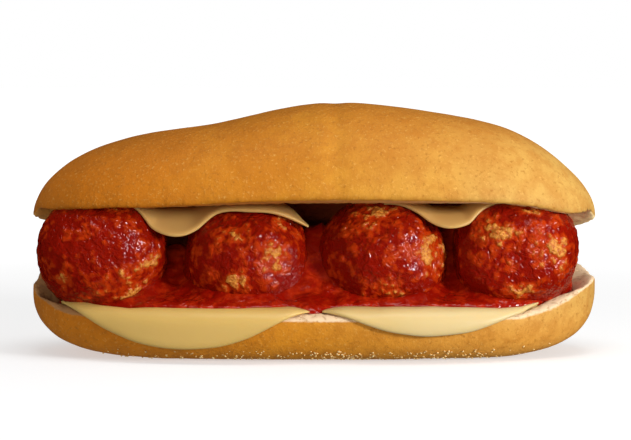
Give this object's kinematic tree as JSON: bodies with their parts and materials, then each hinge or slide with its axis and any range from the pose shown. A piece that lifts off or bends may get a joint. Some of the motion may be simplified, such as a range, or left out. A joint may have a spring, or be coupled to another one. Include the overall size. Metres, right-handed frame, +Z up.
{
  "type": "submarine sandwich",
  "caption": "Meatball submarine sandwich: a soft roll hinged at the back and open at the front, filled with meatballs in tomato sauce and round cheese slices.",
  "frame": {"origin": "middle of the whole sandwich's box, at the height of the flat base it rests on", "axes": "+X along the roll, +Y from the open mouth towards the hinge, +Z up"},
  "size_m": [0.156, 0.0698, 0.0689],
  "materials": {
    "bread": "baked golden crust over cream crumb",
    "meat": "browned mince wet with sauce",
    "cheese": "smooth, softened by warmth",
    "sauce": "wet and glossy"
  },
  "bodies": {
    "root": {"roll": "bread", "meatball_1": "meat", "meatball_2": "meat", "meatball_3": "meat", "meatball_4": "meat", "cheese_lower_left": "cheese", "cheese_lower_right": "cheese", "cheese_upper_left": "cheese", "cheese_upper_right": "cheese", "sauce": "sauce"}
  },
  "joints": []
}
